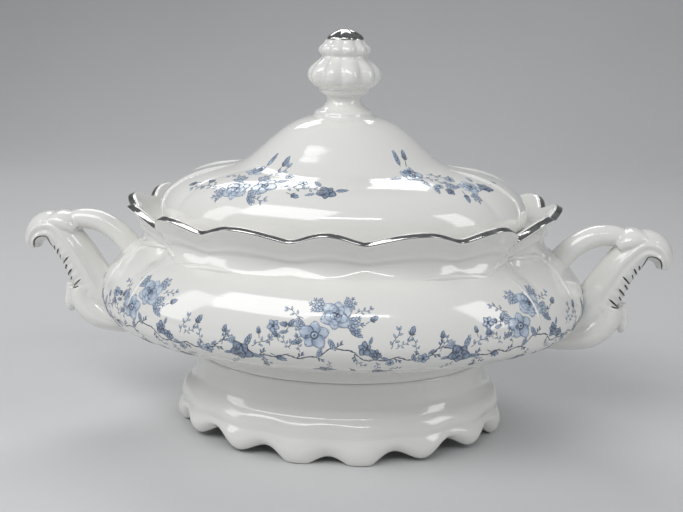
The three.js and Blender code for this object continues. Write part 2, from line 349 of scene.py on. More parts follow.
# a wall on oval rows, capped at both ends or closed on itself, with each row's waves noted for the rule
def ovalWall(name, rows, finest, steps, ring=False, sheet=None):
    rows = smoothRows(rows, finest, ring)
    turns = np.arange(steps) * 2 * np.pi / steps
    z, length, depth = (rows[:, k][:, None] for k in range(3))
    points = np.stack([length * np.cos(turns), depth * np.sin(turns), z + 0 * turns], -1) * mm
    points = points.reshape(-1, 3)
    count = len(rows)
    values = [np.repeat(rows[:, k], steps) for k in (3, 4, 5)]
    around = np.tile(turns, count)
    # every face corner as (row, step), the last step not yet folded back onto the first
    corners = []
    for j in range(count if ring else count - 1):
        corners += [((j, i), (j, i + 1), (j + 1, i + 1), (j + 1, i)) for i in range(steps)]
    if not ring:
        points = np.vstack([points, [[0, 0, rows[0, 0] * mm], [0, 0, rows[-1, 0] * mm]]])
        corners += [((0, i + 1), (0, i), (-1, i)) for i in range(steps)]
        corners += [((count - 1, i), (count - 1, i + 1), (count, i)) for i in range(steps)]
        values = [np.append(v, [0, 0]) for v in values]
        around = np.append(around, [0, 0])
    hubs = {-1: count * steps, count: count * steps + 1}

    def index(row, step):
        if not ring and row in hubs:
            return hubs[row]
        return row % count * steps + step % steps

    piece = newPiece(name, points, [tuple(index(*corner) for corner in face) for face in corners])
    for label, value in zip(("waveOut", "waveUp", "notchIn"), values):
        noteValues(piece.data, label, value * mm)
    noteValues(piece.data, "turn", around)
    if sheet:
        placesOf = sheet(rows, steps)
        places = [place for face in corners for place in placesOf(face)]
        layer = piece.data.uv_layers.new(name="sheet")
        layer.data.foreach_set("uv", np.array(places, dtype=np.float32).ravel())
    return piece


# flat sheets, in metres, that the prints are laid out on before they are wrapped onto a wall
def beltSheet(rows, steps):  # walked round the belly and up the wall
    walked = girth(belly["length"], belly["depth"], np.arange(steps + 1) * 2 * np.pi / steps)[0] * mm
    climb = np.concatenate([[0], np.cumsum(np.hypot(np.diff(rows[:, 0]), np.diff(rows[:, 2])))])
    widest = climb[int(np.argmax(rows[:, 1]))]
    climb = np.concatenate([climb - widest, [climb[-1] + 50, -widest - 50]]) * mm
    return lambda face: [(walked[step], climb[row]) for row, step in face]


def planSheet(rows, steps):  # seen from above; everything under the widest row is set well aside
    widest = int(np.argmax(rows[:, 1]))

    def places(face):
        aside = 0 if all(widest <= row < len(rows) for row, step in face) else 5
        made = []
        for row, step in face:
            turn = 2 * np.pi * step / steps
            row = min(max(row, 0), len(rows) - 1)
            made.append((rows[row, 1] * mm * np.cos(turn) + aside, rows[row, 2] * mm * np.sin(turn)))
        return made

    return places


def scallopRule():  # waves the wall in and out and up and down, and pinches the four corners
    inputs = [
        ("Crests", "NodeSocketFloat"),
        ("Front squeeze", "NodeSocketFloat"),
        ("Corner turn", "NodeSocketFloat"),
        ("Corner width", "NodeSocketFloat"),
        ("Corner drop", "NodeSocketFloat"),
        ("Sharpness", "NodeSocketFloat"),
        ("Raised corners", "NodeSocketFloat"),
        ("Flat below", "NodeSocketFloat"),
        ("Finish", "NodeSocketMaterial"),
    ]
    tree, bench, given = newRule("scallopRule", inputs)

    def noted(label):
        return bench.node("GeometryNodeInputNamedAttribute", {"data_type": "FLOAT"}, {"Name": label})

    turn = noted("turn")
    cosine = turn.calc("COSINE")
    sine = turn.calc("SINE")
    # the crests at the front and the back stand a little closer together
    frontal = ((turn * 2.0).calc("COSINE") * -1.0).calc("MAXIMUM", 0.0) ** 2.0
    phase = turn + (turn * 8.0).calc("SINE") * frontal * given["Front squeeze"]
    # a plain cosine drawn out towards broad crests and tighter lows by Sharpness
    plain = (phase * given["Crests"]).calc("COSINE")
    half = (phase * given["Crests"] * 0.5).calc("COSINE")
    broad = (half * half + 0.05).calc("SQRT") * 2.5 - 1.56
    ripple = plain + (broad - plain) * given["Sharpness"]
    folded = sine.calc("ABSOLUTE").calc("ARCTAN2", cosine.calc("ABSOLUTE"))
    away = (folded - given["Corner turn"]).calc("ABSOLUTE")
    pinch = (away / given["Corner width"] * -1.0).calc("EXPONENT")
    outward = noted("waveOut") * ripple - noted("notchIn") * pinch
    ends = (turn * 2.0).calc("COSINE") * 0.32
    corners = (turn * 4.0).calc("COSINE") * 0.68
    raised = given["Raised corners"] * (ends - corners + 0.78)
    lift = noted("waveUp") * (ripple + raised).calc("MAXIMUM", given["Flat below"])
    lift = lift - noted("notchIn") * pinch * given["Corner drop"]
    sockets = {0: outward * cosine, 1: outward * sine, 2: lift}
    shift = bench.node("ShaderNodeCombineXYZ", None, sockets)
    moved = bench.node("GeometryNodeSetPosition", None, {"Geometry": given["Geometry"], "Offset": shift})
    endRule(bench, moved, given["Finish"])
    return tree


scallops = scallopRule()


def scalloped(name, rows, wall, finish, **layout):
    piece = ovalWall(name, rows, wall["finest"], wall["steps"], **layout)
    applyRule(piece, scallops, {
        "Crests": float(wave["crests"]),
        "Front squeeze": wall.get("squeeze", 0.0),
        "Corner turn": math.radians(wave["notchTurn"]),
        "Corner width": wave["notchWidth"],
        "Corner drop": wave["notchDrop"],
        "Sharpness": wall["sharpness"],
        "Raised corners": wall.get("raised", 0.0),
        "Flat below": wall.get("flatBelow", -5.0),
        "Finish": finish,
    })
    return settle(piece)


bowlWall = scalloped("bowl_wall", bowlRows, bowl, glazeBowl, sheet=beltSheet)
footWall = scalloped("foot_wall", footRows, foot, glazeBowl, ring=True)
print("bowl and foot walls", len(bowlWall.data.polygons), len(footWall.data.polygons))
lidWall = scalloped("lid_wall", lidRows, lid, glazeLid, sheet=planSheet)
flange = scalloped("lid_flange", flangeRows, flangeRing, glazeLid, ring=True)
print("lid wall and flange", len(lidWall.data.polygons), len(flange.data.polygons))
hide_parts("bowl_shell")
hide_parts("pedestal_foot")
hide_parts("lid_shell")
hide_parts("lid_locating_flange")
for piece in (bowlWall, footWall):
    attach(piece, "bowl")
for piece in (lidWall, flange):
    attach(piece, "lid")


band = dict(finest=0.5, steps=384, sharpness=0.75, squeeze=0.04)  # follows the bowl's rim
bandRows = [
    (109.75, 103.8, 77.15, 1.9, 2.2, 3.7), (110.25, 103.55, 77.05, 1.9, 2.2, 3.7),
    (110.95, 102.05, 76.35, 1.8, 2.2, 3.6), (111.35, 101.2, 75.9, 1.8, 2.2, 3.6),
    (111.1, 101, 75.75, 1.8, 2.2, 3.6), (110.5, 101.9, 76.1, 1.8, 2.2, 3.6),
    (109.9, 103, 76.6, 1.9, 2.2, 3.7), (109.6, 103.4, 76.8, 1.9, 2.2, 3.7),
]
rimBand = scalloped("rim_platinum_band", bandRows, band, platinum, ring=True)
print("rim band", len(rimBand.data.polygons))
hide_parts("rim_platinum_line")
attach(rimBand, "bowl")


knob = dict(lobes=10.0, steps=240, finest=0.45)
petalTip = dict(lobes=5.0, steps=160, finest=0.3)
finialRows = [  # radius, height, lobe depth
    (0, 152.8, 0), (13.6, 152.8, 0), (15.4, 153.2, 0), (14.7, 153.9, 0), (14.2, 154.6, 0),
    (14.0, 155.4, 0), (13.4, 156.2, 0), (11.4, 157.2, 0), (9.6, 158.6, 0), (8.4, 160.4, 0),
    (8.2, 162.2, 0), (8.8, 163.4, 0),
    (10.4, 164.2, 0.1), (11.4, 165.1, 0.3), (11.6, 166.0, 0.5), (11.8, 166.6, 0.7), (14.0, 168.0, 1.5),
    (16.0, 170.2, 2.2), (16.7, 172.6, 2.5), (16.2, 175.2, 2.4), (14.4, 177.6, 1.8), (12.2, 179.6, 1.1),
    (10.8, 181.0, 0.6), (10.6, 182.0, 0.6), (11.6, 183.2, 1.1), (12.0, 184.6, 1.4), (11.4, 186.0, 1.3),
    (10.2, 187.0, 1.1), (9.4, 188.0, 1.0), (8.6, 189.2, 0.9), (7.0, 190.0, 0.5), (0, 190.0, 0),
]
tipRows = [
    (0, 188.9, 0), (7.6, 188.9, 0.6), (8.5, 189.4, 1.3), (8.2, 190.3, 1.5), (6.9, 191.6, 1.4),
    (5.0, 192.8, 1.0), (2.6, 193.8, 0.4), (0, 194.15, 0),
]


def lobeRule():  # round lobes with tight creases between them
    inputs = [("Lobes", "NodeSocketFloat"), ("Finish", "NodeSocketMaterial")]
    tree, bench, given = newRule("lobeRule", inputs)
    turn = bench.node("GeometryNodeInputNamedAttribute", {"data_type": "FLOAT"}, {"Name": "turn"})
    depth = bench.node("GeometryNodeInputNamedAttribute", {"data_type": "FLOAT"}, {"Name": "waveOut"})
    half = (turn * given["Lobes"] * 0.5).calc("COSINE")
    swell = (half * half + 0.04).calc("SQRT") - 0.72
    reach = depth * swell
    sockets = {0: reach * turn.calc("COSINE"), 1: reach * turn.calc("SINE")}
    shift = bench.node("ShaderNodeCombineXYZ", None, sockets)
    moved = bench.node("GeometryNodeSetPosition", None, {"Geometry": given["Geometry"], "Offset": shift})
    endRule(bench, moved, given["Finish"])
    return tree


lobes = lobeRule()


def turnedPiece(name, rows, turned, finish):
    table = [(z, radius, radius, lobe) for radius, z, lobe in rows[1:-1]]
    piece = ovalWall(name, table, turned["finest"], turned["steps"])
    applyRule(piece, lobes, {"Lobes": turned["lobes"], "Finish": finish})
    return settle(piece)


finial = turnedPiece("finial_knob", finialRows, knob, glazeLid)
tip = turnedPiece("finial_petal_tip", tipRows, petalTip, platinum)
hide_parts("finial")
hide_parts("finial_platinum_tip")
for piece in (finial, tip):
    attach(piece, "lid")
print("finial", len(finial.data.polygons))


handle = dict(voxel=0.5, smoothing=4, veins=17, veinDepth=1.0, sunk=2.4, coreFinest=3.0, coreSteps=96)
archPath = [  # x, z, half width across, half thickness
    (95, 70, 8.6, 6.2), (99.6, 77.4, 7.4, 5.8), (105.4, 86.0, 6.5, 5.5), (112.6, 93.6, 5.9, 5.4),
    (121.6, 98.6, 5.6, 5.3), (131.0, 99.4, 5.6, 5.0), (138, 97.6, 6, 4.4),
]
leafPath = [
    (110, 56, 9.4, 9), (123.4, 64.8, 9.8, 10.4), (129.2, 74.8, 9.8, 9.8), (134.2, 83.6, 9.8, 8.8),
    (139.6, 90.8, 9.6, 8.2), (145.4, 94.9, 9.4, 8.2), (150.4, 93.6, 9.0, 7.6), (154.0, 89.2, 8.2, 5.6),
    (154.8, 84.8, 6.4, 3.6),
]
foldPath = [(132.4, 94.6, 8, 3.4), (135.6, 97, 9.3, 5.2), (140, 98.6, 9.5, 5.4), (145, 99.2, 8.4, 3.4)]
spurPath = [
    (101, 47, 9, 5), (113, 48.8, 11.4, 7), (121.4, 51.8, 11.6, 8.6), (128, 58, 10.4, 8.8),
    (131, 66, 9.4, 7),
]
dropPath = [
    (137.4, 66, 2.2, 2.2), (138.4, 61, 1.9, 1.9), (138.6, 56.6, 2.6, 2.4), (137.8, 53, 2.2, 2.0),
    (137.2, 51, 0.8, 0.8),
]


def alongPath(stations, samples):  # evenly spaced sections along a bar, and the way each one faces
    rows = np.array(stations, float)
    gaps = np.hypot(np.diff(rows[:, 0]), np.diff(rows[:, 1]))
    ends = np.concatenate([[0], np.cumsum(gaps)])
    slopes = np.gradient(rows, ends, axis=0)
    made = []
    for s in np.linspace(0, gaps.sum(), samples):
        i = min(np.searchsorted(ends, s, side="right") - 1, len(gaps) - 1)
        made.append(between(rows, slopes, gaps[i], i, (s - ends[i]) / gaps[i]))
    made = np.array(made)
    heading = np.gradient(made[:, :2], axis=0)
    heading /= np.linalg.norm(heading, axis=1)[:, None]
    return made, heading


def ramp(value, low, high):
    return min(1.0, max(0.0, (value - low) / (high - low)))


def leafReach(along, angle):  # how far a section of the leaf stands out, as a share of its plain oval
    side = math.sin(angle)
    outer = max(0.0, -side)
    body = ramp(along, 0.14, 0.24) * ramp(-along, -0.70, -0.62)
    beat = abs(math.sin(math.pi * handle["veins"] * (along - 0.07 * abs(math.cos(angle)))))
    reach = 1 - 0.12 * handle["veinDepth"] * outer * body * (1 - beat) ** 1.3
    reach += 0.08 * math.exp(-((side - 0.30) / 0.11) ** 2) * ramp(along, 0.2, 0.35)  # the long ridge
    reach -= 0.06 * math.exp(-((side + 0.02) / 0.10) ** 2) * ramp(along, 0.2, 0.35)
    curl = ramp(along, 0.66, 0.80)  # the leaf's margin rolls over and the underside sinks away below it
    reach += 0.07 * curl * math.exp(-((side + 0.22) / 0.10) ** 2)
    reach -= 0.16 * curl * ramp(-side, 0.32, 0.60)
    return reach


def barPoints(stations, samples, steps, leaf=False):
    rows, heading = alongPath(stations, samples)
    points, faces = [], []
    for j, ((x, z, wide, thick), (hx, hz)) in enumerate(zip(rows, heading)):
        along = j / (samples - 1)
        for i in range(steps):
            angle = 2 * math.pi * i / steps
            reach = leafReach(along, angle) if leaf else 1
            across = math.cos(angle) * wide * reach
            off = math.sin(angle) * thick * reach
            points.append((x - hz * off, across, z + hx * off))
    for j in range(samples - 1):
        for i in range(steps):
            k = (i + 1) % steps
            faces.append((j * steps + i, j * steps + k, (j + 1) * steps + k, (j + 1) * steps + i))
    for first, flip in ((0, True), ((samples - 1) * steps, False)):
        middle = np.mean(points[first:first + steps], axis=0)
        points.append(tuple(middle))
        hub = len(points) - 1
        for i in range(steps):
            pair = (first + i, first + (i + 1) % steps)
            faces.append((*(reversed(pair) if flip else pair), hub))
    return points, faces


def bowlCore():  # the bowl filled in, a little inside its outer face, to cut the handles back to
    outside = bowlRows[2:22]
    sunk = handle["sunk"]
    rows = [(z, length - sunk, depth - sunk) for z, length, depth, *rest in outside]
    core = ovalWall("bowlCore", rows, handle["coreFinest"], handle["coreSteps"])
    bpy.context.scene.collection.objects.unlink(core)
    return core


def buildHandle(name, side, core):
    points, faces = [], []
    bars = (
        (archPath, 60, 40, False),
        (leafPath, 180, 72, True),
        (foldPath, 30, 40, False),
        (spurPath, 40, 40, False),
        (dropPath, 30, 24, False),
    )
    for path, samples, steps, leaf in bars:
        more, ties = barPoints(path, samples, steps, leaf)
        base = len(points)
        points += more
        faces += [tuple(v + base for v in tie) for tie in ties]
    turned = np.array(points) * mm * [side, side, 1]
    piece = newPiece(name, turned, faces)
    fused = piece.modifiers.new("fused", "REMESH")
    fused.mode = "VOXEL"
    fused.voxel_size = handle["voxel"] * mm
    eased = piece.modifiers.new("eased", "SMOOTH")
    eased.factor = 0.5
    eased.iterations = handle["smoothing"]
    trimmed = piece.modifiers.new("trimmed", "BOOLEAN")
    trimmed.operation = "DIFFERENCE"
    trimmed.solver = "EXACT"
    trimmed.object = core
    settle(piece)
    piece.data.materials.clear()
    piece.data.materials.append(glazeBowl)
    return piece


def skinOf(thing):
    mesh = thing.data
    return BVHTree.FromPolygons([v.co for v in mesh.vertices], [p.vertices for p in mesh.polygons])


def drawn(stops, step):  # an even walk along a smooth curve through the stops
    stops = [Vector(p) for p in stops]
    ends = [stops[0] * 2 - stops[1]] + stops + [stops[-1] * 2 - stops[-2]]
    fine = []
    for k in range(1, len(ends) - 2):
        a, b, c, d = ends[k - 1:k + 3]
        for i in range(24):
            t = i / 24
            squared = (2 * a - 5 * b + 4 * c - d) * t ** 2
            cubed = (3 * b - a - 3 * c + d) * t ** 3
            fine.append(0.5 * (2 * b + (c - a) * t + squared + cubed))
    fine.append(stops[-1])
    walked = [0.0]
    for a, b in zip(fine, fine[1:]):
        walked.append(walked[-1] + (b - a).length)
    count = max(6, int(walked[-1] / step))
    spots = np.linspace(0, walked[-1], count)
    columns = [np.interp(spots, walked, [p[k] for p in fine]) for k in range(3)]
    return [Vector(p) for p in zip(*columns)]


def beads(name, skin, lines, width, height, finish, step=0.7, across=9, taper=0.3, stand=-0.05):
    points, faces = [], []
    for stops in lines:
        walk = []
        for p in drawn(stops, step * mm):
            spot, normal, face, distance = skin.find_nearest(p)
            walk.append((spot, normal))
        count = len(walk)
        base = len(points)
        for k, (spot, _) in enumerate(walk):
            nearby = [walk[max(0, min(count - 1, k + d))][1] for d in (-2, -1, 0, 1, 2)]
            up = sum(nearby, Vector()).normalized()
            ahead = walk[min(count - 1, k + 1)][0] - walk[max(0, k - 1)][0]
            side = up.cross(ahead).normalized()
            t = k / (count - 1)
            full = min(1.0, 0.12 + min(t, 1 - t) / taper) if taper else 1.0
            top, low = [], []
            for j in range(across):
                v = 2 * j / (across - 1) - 1
                at, normal, face, distance = skin.find_nearest(spot + side * (v * width * full * mm / 2))
                top.append(at + up * (height * full * (1 - v * v) ** 1.5 + stand) * mm)
                low.append(at - up * 0.35 * mm)
            points += top + low[::-1]
        ring = 2 * across
        for k in range(count - 1):
            for j in range(ring):
                a, b = base + k * ring + j, base + k * ring + (j + 1) % ring
                faces.append((a, a + ring, b + ring, b))
        faces.append(tuple(base + j for j in range(ring)))
        faces.append(tuple(base + (count - 1) * ring + j for j in reversed(range(ring))))
    piece = newPiece(name, points, faces)
    piece.data.materials.append(finish)
    fixed = bmesh.new()
    fixed.from_mesh(piece.data)
    bmesh.ops.recalc_face_normals(fixed, faces=fixed.faces)
    fixed.to_mesh(piece.data)
    fixed.free()
    return piece


def leafSpot(along, degrees, side):  # a place on the handle leaf, in metres
    rows, heading = alongPath(leafPath, 181)
    (x, z, wide, thick), (hx, hz) = rows[int(along * 180)], heading[int(along * 180)]
    angle = math.radians(degrees)
    reach = leafReach(along, angle)
    across = math.cos(angle) * wide * reach
    off = math.sin(angle) * thick * reach
    return Vector(((x - hz * off) * side, across * side, z + hx * off)) * mm


dashes = dict(
    first=0.27, last=0.63, edge=264, width=0.9, height=0.24,
    reach=(56, 74, 48, 64, 52, 76, 50, 60, 50),  # how far round the leaf each one runs, in degrees
)
marginPath = ((0.655, 250), (0.70, 232), (0.76, 216), (0.84, 200), (0.92, 196), (0.995, 205))

core = bowlCore()
for name, side in (("handle_right", 1), ("handle_left", -1)):
    piece = buildHandle(name + "_leaf", side, core)
    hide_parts(name)
    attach(piece, "bowl")
    skin = skinOf(piece)
    strokes = []
    for flip in (False, True):
        def spot(along, degrees):
            return leafSpot(along, 180 - degrees if flip else degrees, side)
        strokes.append([spot(along, degrees) for along, degrees in marginPath])
        for k, reach in enumerate(dashes["reach"]):
            at = dashes["first"] + (dashes["last"] - dashes["first"]) * k / (len(dashes["reach"]) - 1)
            middle = spot(at + 0.012, dashes["edge"] - reach / 2)
            strokes.append([spot(at, dashes["edge"]), middle, spot(at + 0.034, dashes["edge"] - reach)])
    lines = beads(name + "_platinum_strokes", skin, strokes, dashes["width"], dashes["height"],
                  platinumStroke, step=0.5, across=5, taper=0.15, stand=0.06)
    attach(lines, "bowl")
    print(name, len(piece.data.polygons), len(lines.data.polygons))


def onBowl(turn, height):  # a place on the outside of the bowl, its turn measured from +X towards +Y
    turn = math.radians(turn)
    outside = Vector((190 * math.cos(turn), 142 * math.sin(turn), height)) * mm
    return bowlSkin.ray_cast(outside, Vector((0, 0, height * mm)) - outside)[0]


def onLid(x, y):
    return lidSkin.ray_cast(Vector((x * mm, y * mm, 0.3)), Vector((0, 0, -1)))[0]


def onLidEdge(turn, height):
    turn = math.radians(turn)
    outside = Vector((150 * math.cos(turn), 106 * math.sin(turn), height)) * mm
    return lidSkin.ray_cast(outside, Vector((0, 0, height * mm)) - outside)[0]


bowlSkin, lidSkin = skinOf(bowlWall), skinOf(lidWall)
ridge = dict(width=3.0, height=0.9)
crease = dict(width=2.4, height=0.35)
# paths on the walls: turn from the +X end in degrees, height in mm
scrollPath = (
    (33.6, 103.5), (33.5, 100.5), (34.6, 97.4), (38, 95.3), (41, 94.5), (42.2, 93.3), (40.6, 92.5),
)
shoulderPath = ((43, 92.6), (45.4, 91.3), (49.2, 91.7), (57, 92.3), (66, 91.8))
panelPath = (
    (38, 95), (32, 94.8), (26.2, 95.2), (20, 94), (16.8, 91), (18.4, 87), (20.4, 82), (20, 76),
    (15.5, 69),
)
creasePath = ((41.2, 92.6), (39.6, 88), (38.8, 82), (38.4, 75), (38.2, 68))
ribEdge = ((23.5, 108), (20.6, 106.4), (19.6, 109), (18.6, 113))
ribTop = ((82.0, 17.2), (78.9, 16.3), (71.2, 13.9), (60.2, 9.4), (51, 6.2))
bowlLines, creaseLines, lidLines = [], [], []
for sx in (1, -1):
    for sy in (1, -1):
        def turned(degrees):
            turn = math.radians(degrees)
            return math.degrees(math.atan2(sy * math.sin(turn), sx * math.cos(turn)))
        for path in (scrollPath, shoulderPath, panelPath):
            bowlLines.append([onBowl(turned(turn), height) for turn, height in path])
        creaseLines.append([onBowl(turned(turn), height) for turn, height in creasePath])
        edge = [onLidEdge(turned(turn), height) for turn, height in ribEdge]
        top = [onLid(sx * x, sy * y) for x, y in ribTop]
        lidLines.append(edge + top)
for name, skin, body, lines, size, finish in (
    ("bowl_moulded_ridges", bowlSkin, "bowl", bowlLines, ridge, glazeBowl),
    ("bowl_corner_creases", bowlSkin, "bowl", creaseLines, crease, glazeBowl),
    ("lid_moulded_ridges", lidSkin, "lid", lidLines, ridge, glazeLid),
):
    relief = beads(name, skin, lines, size["width"], size["height"], finish)
    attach(relief, body)
print("ridges laid")


ink = dict(lift=0.09, layer=0.012, thin=0.07, seed=4)  # how far the ink stands off the glaze, in mm


class Motif:  # flat petals, leaves and stems gathered in one small mesh, sizes in mm
    def __init__(self):
        self.points, self.faces, self.tones, self.edges = [], [], [], []

    def petal(self, at, turn, length, width, root, tip, level=0, blunt=0.5, notch=0, bend=0, vein=0.12):
        along, across = (8, 6) if width > 2 else (6, 4) if width > 1.1 else (5, 3)
        base = len(self.points)
        for i in range(along):
            t = i / (along - 1)
            half = width / 2 * max(0.06, math.sin(math.pi * min(1, t * 0.97 + 0.015) ** blunt) ** 0.7)
            angle = math.radians(turn + bend * t)
            for j in range(across):
                v = 2 * j / (across - 1) - 1
                x = length * t * (1 - notch * t * t * (1 - abs(v)))
                y = half * v
                px = at[0] + x * math.cos(angle) - y * math.sin(angle)
                py = at[1] + x * math.sin(angle) + y * math.cos(angle)
                outline = abs(v) == 1 or i == along - 1
                self.points.append((px * mm, py * mm, level * ink["layer"] * mm))
                streak = vein * math.cos(v * 9) * math.sin(math.pi * t)
                self.tones.append(root + (tip - root) * t ** 0.8 + streak)
                self.edges.append(1.0 if outline else 0.0)
        for i in range(along - 1):
            for j in range(across - 1):
                a = base + i * across + j
                self.faces.append((a, a + across, a + across + 1, a + 1))
        ring = [(0, j) for j in range(across)] + [(i, across - 1) for i in range(1, along)]
        ring += [(along - 1, j) for j in range(across - 2, -1, -1)]
        ring += [(i, 0) for i in range(along - 2, 0, -1)]
        self.closeBelow([base + i * across + j for i, j in ring])

    def closeBelow(self, ring):  # a low wall round the outline and one plain face under it
        base = len(self.points)
        for v in ring:
            x, y, z = self.points[v]
            self.points.append((x, y, z - ink["thin"] * mm))
            self.tones.append(self.tones[v])
            self.edges.append(self.edges[v])
        count = len(ring)
        for k in range(count):
            a, b = ring[k], ring[(k + 1) % count]
            self.faces.append((a, b, base + (k + 1) % count, base + k))
        self.faces.append(tuple(base + k for k in range(count)))

    def disc(self, at, radius, tone, level=0, steps=12):
        base = len(self.points)
        z = level * ink["layer"]
        for k in range(-1, steps):
            a = 2 * math.pi * k / steps
            reach = radius if k >= 0 else 0
            spot = (at[0] + reach * math.cos(a), at[1] + reach * math.sin(a), z)
            self.points.append(tuple(c * mm for c in spot))
            self.tones.append(tone)
            self.edges.append(0.4 if k >= 0 else 0.0)
        ring = [base + 1 + k for k in range(steps)]
        for k in range(steps):
            self.faces.append((base, ring[k], ring[(k + 1) % steps]))
        self.closeBelow(ring[::-1])

    def whorl(self, at, count, length, width, root, tip, level, start=0, wobble=0.0, **shape):
        for k in range(count):
            turn = start + 360 * k / count
            grow = 1 + wobble * math.cos(math.radians(2 * turn + 40))
            self.petal(at, turn, length * grow, width * grow, root, tip, level + k * 0.25, **shape)

    def build(self, name, shelf):
        thing = newPiece(name, self.points, self.faces, smooth=False)
        bpy.context.scene.collection.objects.unlink(thing)
        shelf.objects.link(thing)
        noteValues(thing.data, "tone", self.tones)
        noteValues(thing.data, "edge", self.edges)
        return thing


def rose():
    made = Motif()
    made.whorl((0, 0), 6, 5.4, 4.8, 0.48, 0.02, 0, start=10, wobble=0.1, blunt=0.75, notch=0.14)
    made.whorl((0, 0), 5, 3.9, 3.6, 0.62, 0.10, 2, start=38, wobble=0.1, blunt=0.75, notch=0.1)
    made.whorl((0.2, 0.2), 4, 2.5, 2.6, 0.78, 0.22, 4, start=15, blunt=0.75, notch=0.1)
    made.whorl((0.2, 0.3), 3, 1.4, 1.5, 0.95, 0.6, 6, start=60, blunt=0.75)
    made.disc((0.2, 0.3), 0.5, 0.95, 8)
    return made


def openFlower():
    made = Motif()
    made.whorl((0, 0), 5, 5.3, 4.6, 0.66, 0.06, 0, start=18, wobble=0.08, blunt=0.8, notch=0.16)
    made.disc((0, 0), 1.5, 0.70, 3)
    made.disc((0, 0), 0.95, 0.12, 4)
    made.disc((0, 0), 0.45, 0.80, 5)
    return made


def darkRose():
    made = Motif()
    made.whorl((0, 0), 5, 4.7, 4.2, 0.92, 0.56, 0, start=50, wobble=0.12, blunt=0.75, notch=0.12)
    made.whorl((0, 0), 4, 3.2, 3.0, 0.98, 0.60, 2, start=20, blunt=0.75, notch=0.1)
    made.whorl((0, 0.2), 3, 1.8, 1.9, 1.0, 0.6, 4, start=80, blunt=0.75)
    made.disc((0, 0.2), 0.5, 0.3, 6)
    return made


def pansy():
    made = Motif()
    for turn, long, wide in ((90, 3.4, 2.8), (30, 2.8, 2.5), (150, 2.8, 2.5), (235, 3, 3), (305, 3, 3)):
        made.petal((0, 0), turn, long, wide, 0.95, 0.52, turn * 0.004, blunt=0.7, notch=0.1)
    made.disc((0, 0), 0.7, 0.95, 3)
    made.disc((0, 0), 0.3, 0.1, 4)
    return made


def bud():
    made = Motif()
    made.petal((0, 0), 0, 4.2, 2.6, 0.75, 0.42, 0, blunt=0.9, vein=0.2)
    made.petal((0, 0), 16, 3.4, 1.5, 0.85, 0.6, 1, blunt=0.9)
    made.petal((-0.3, 0.2), 48, 2.0, 0.7, 0.7, 0.55, 2)
    made.petal((-0.3, -0.2), -46, 2.2, 0.7, 0.7, 0.55, 2)
    made.petal((-3.4, 0), 0, 3.4, 0.36, 0.62, 0.62, 0, blunt=0.6)
    return made


def leaf():
    made = Motif()
    made.petal((0, 0), 0, 7.2, 3.1, 0.52, 0.30, -4, blunt=0.8, vein=0.16)
    made.petal((-0.8, 0), 0, 7.4, 0.32, 0.85, 0.6, -3, blunt=0.7)
    for along, side in ((1.6, 1), (2.4, -1), (3.4, 1), (4.2, -1), (5.0, 1)):
        made.petal((along, 0), 36 * side, 2.1, 0.5, 0.78, 0.42, -3)
    return made


def sprig():
    made = Motif()
    for k in range(5):
        at = (k * 2.1, 0.35 * math.sin(k * 1.2))
        made.petal(at, 9 * math.sin(k * 1.7), 2.6, 0.42, 0.66, 0.6, -5, blunt=0.6)
    for k in range(1, 6):
        side = 1 if k % 2 else -1
        made.petal((k * 2.0, 0.3 * side), 52 * side, 2.5, 1.25, 0.62, 0.40, -4, blunt=0.8)
    made.petal((10.4, 0), 5, 2.3, 1.2, 0.65, 0.42, -4, blunt=0.8)
    return made


def vine():  # one whole repeat of the winding stem, with a leafy twig every few millimetres
    made = Motif()

    def climb(s):
        winding = 2.4 * math.sin(s * 2 * math.pi / 46.7 + 0.9) + 1.3 * math.sin(s * 2 * math.pi / 23.35)
        return winding + 0.45 * math.sin(s * 2 * math.pi / 9.34 + 0.4)

    for k in range(46):
        s = k * 2.03
        lean = math.degrees(math.atan2(climb(s + 1) - climb(s - 1), 2))
        made.petal((s, climb(s)), lean, 3.4, 0.6, 0.9, 0.9, -6, blunt=0.5)
        if k % 4 == 1:
            side = 1 if k % 8 == 1 else -1
            off = lean + 55 * side
            made.petal((s, climb(s)), off, 3.4, 0.46, 0.88, 0.84, -6, blunt=0.6, bend=-20 * side)
            twig = math.radians(lean + 50 * side)
            for n, turn in ((1.6, 95), (2.6, 10), (3.0, 60)):
                at = (s + n * math.cos(twig), climb(s) + n * math.sin(twig))
                made.petal(at, lean + turn * side, 1.7, 0.85, 0.66, 0.45, -5, blunt=0.8)
    return made


def feather():  # a spray of narrow toothed leaves that fans out from behind a rose
    made = Motif()
    for turn, long in ((-34, 6.4), (-14, 8.2), (8, 8.8), (30, 7.0)):
        made.petal((0, 0), turn, long, 1.7, 0.62, 0.26, -4, blunt=0.9, vein=0.2)
        for n in (0.35, 0.55, 0.75):
            angle = math.radians(turn)
            at = (long * n * math.cos(angle), long * n * math.sin(angle))
            for side in (1, -1):
                made.petal(at, turn + 40 * side, 1.8, 0.55, 0.6, 0.35, -3, blunt=0.9)
    return made


def fivePetal():
    made = Motif()
    made.whorl((0, 0), 5, 2.3, 1.9, 0.75, 0.30, 0, start=54, blunt=0.8, notch=0.1)
    made.disc((0, 0), 0.55, 0.9, 2)
    return made


motifShelf = bpy.data.collections.new("motifShelf")  # never linked to the scene, only read by the rules
motifKinds = (rose, openFlower, darkRose, pansy, bud, leaf, sprig, vine, feather, fivePetal)
for number, draw in enumerate(motifKinds):
    draw().build(f"motif_{number}_{draw.__name__}", motifShelf)

